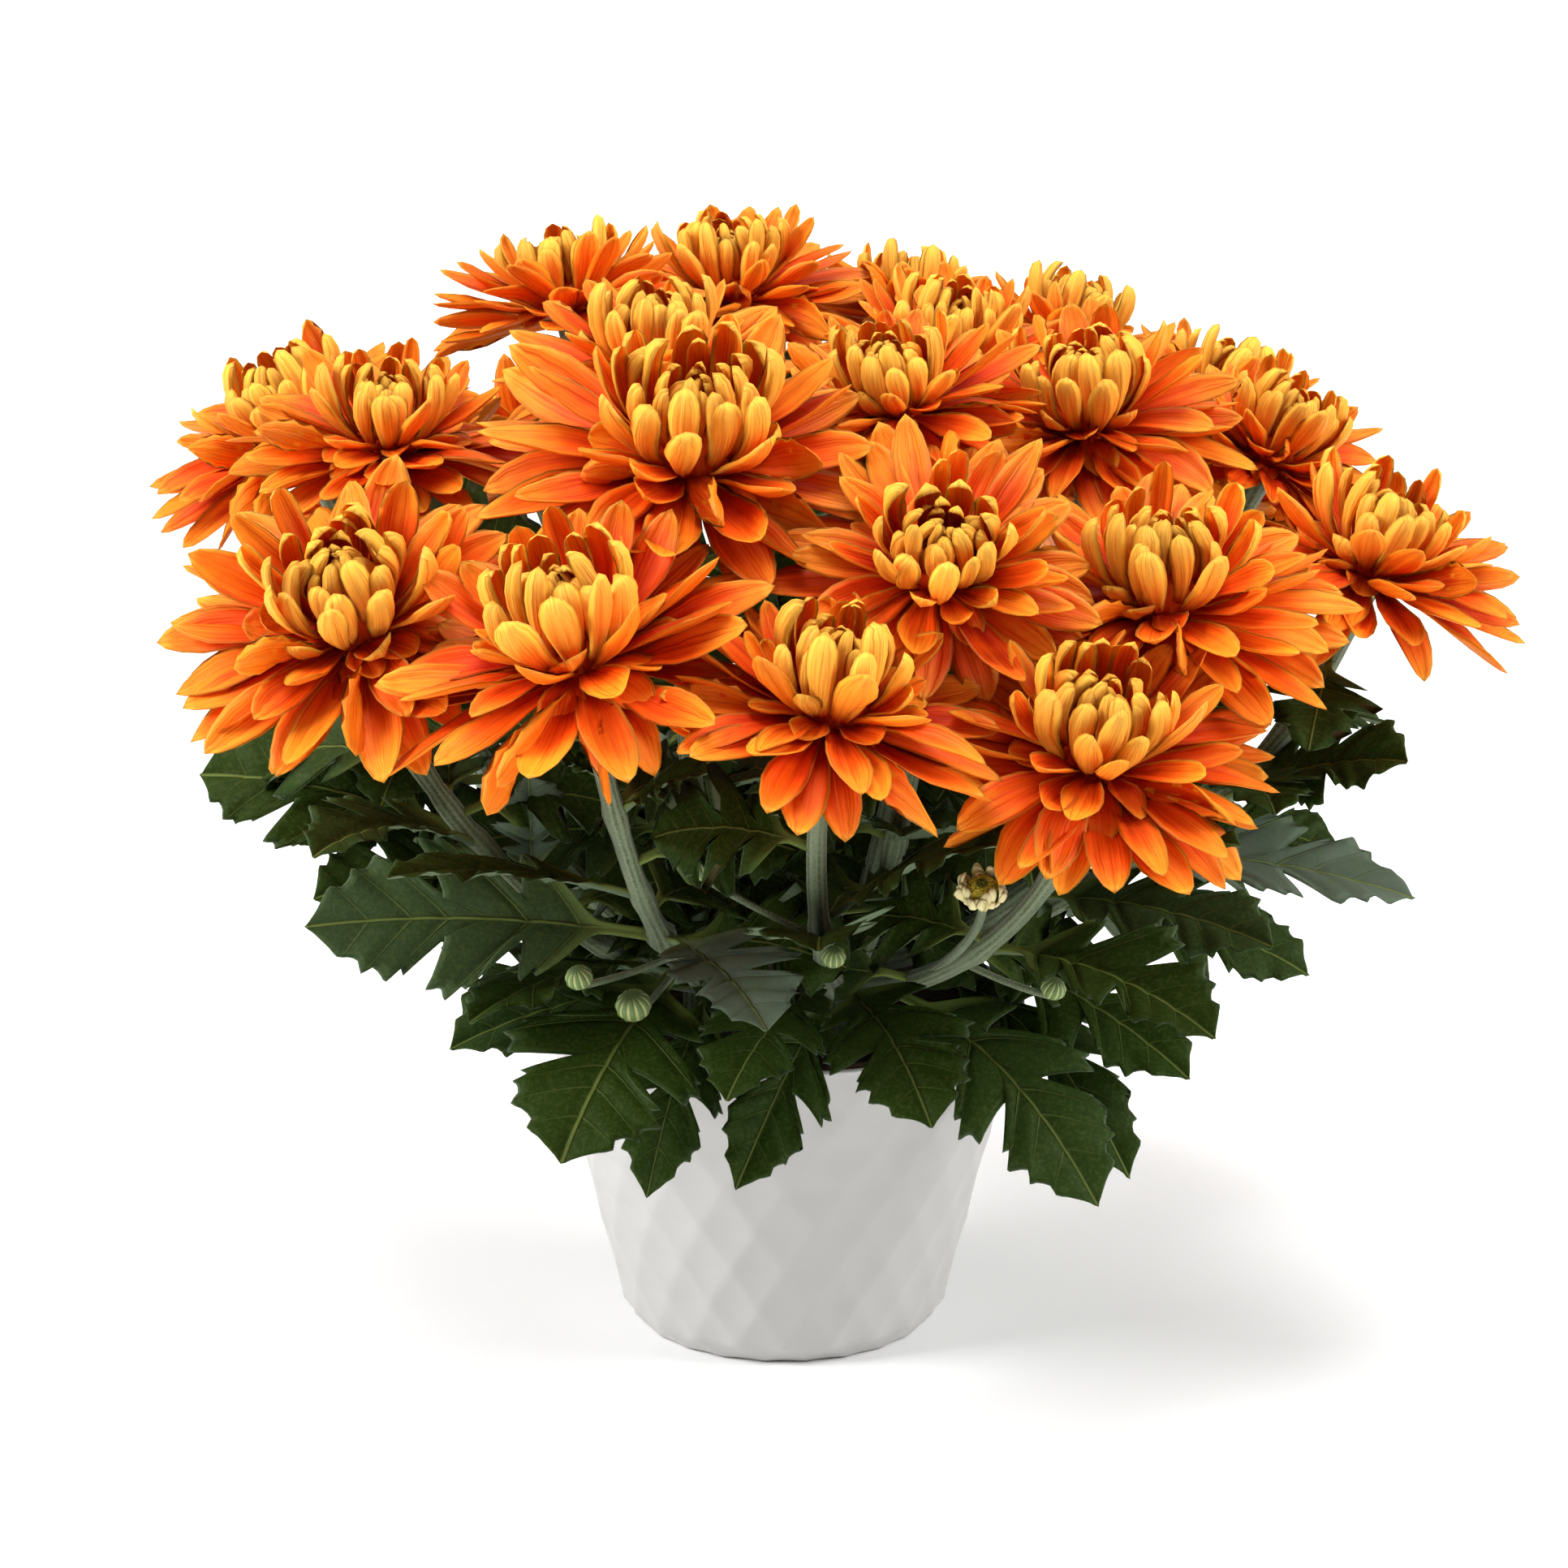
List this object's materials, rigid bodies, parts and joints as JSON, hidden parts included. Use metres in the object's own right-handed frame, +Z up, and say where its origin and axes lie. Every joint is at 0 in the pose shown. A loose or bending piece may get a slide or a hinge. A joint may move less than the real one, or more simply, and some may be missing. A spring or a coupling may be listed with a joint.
{
  "type": "potted chrysanthemum",
  "caption": "Potted chrysanthemum: rooted cuttings with lobed leaves and a dome of large double blooms, in a nursery pot of peat inside a diamond-faceted cover pot.",
  "frame": {"origin": "centre of the cover pot's foot, on the surface that it stands on", "axes": "+Z up along the pot's axis, -Y towards the side seen in the picture, +X to the viewer's right"},
  "size_m": [0.3459, 0.3719, 0.2846],
  "materials": {
    "white_glaze": "satin",
    "brown_plastic": "matte",
    "peat": "matte",
    "leaf": "matte",
    "petal": "satin",
    "floret": "satin"
  },
  "bodies": {
    "root": {"cover_pot": "white_glaze", "nursery_pot": "brown_plastic", "peat": "peat", "opening_bud": "floret", "cutting_front_left": "leaf", "cutting_front_right": "leaf", "cutting_right": "leaf", "cutting_back": "leaf", "cutting_left": "leaf", "bloom_01": "petal", "bloom_02": "petal", "bloom_03": "petal", "bloom_04": "petal", "bloom_05": "petal", "bloom_06": "petal", "bloom_07": "petal", "bloom_08": "petal", "bloom_09": "petal", "bloom_10": "petal", "bloom_11": "petal", "bloom_12": "petal", "bloom_13": "petal", "bloom_14": "petal", "bloom_15": "petal", "bloom_16": "petal", "bloom_17": "petal", "bloom_18": "petal", "bloom_19": "petal", "bloom_20": "petal", "bloom_21": "petal", "bloom_22": "petal", "bloom_23": "petal", "bloom_24": "petal", "bloom_25": "petal"}
  },
  "joints": []
}
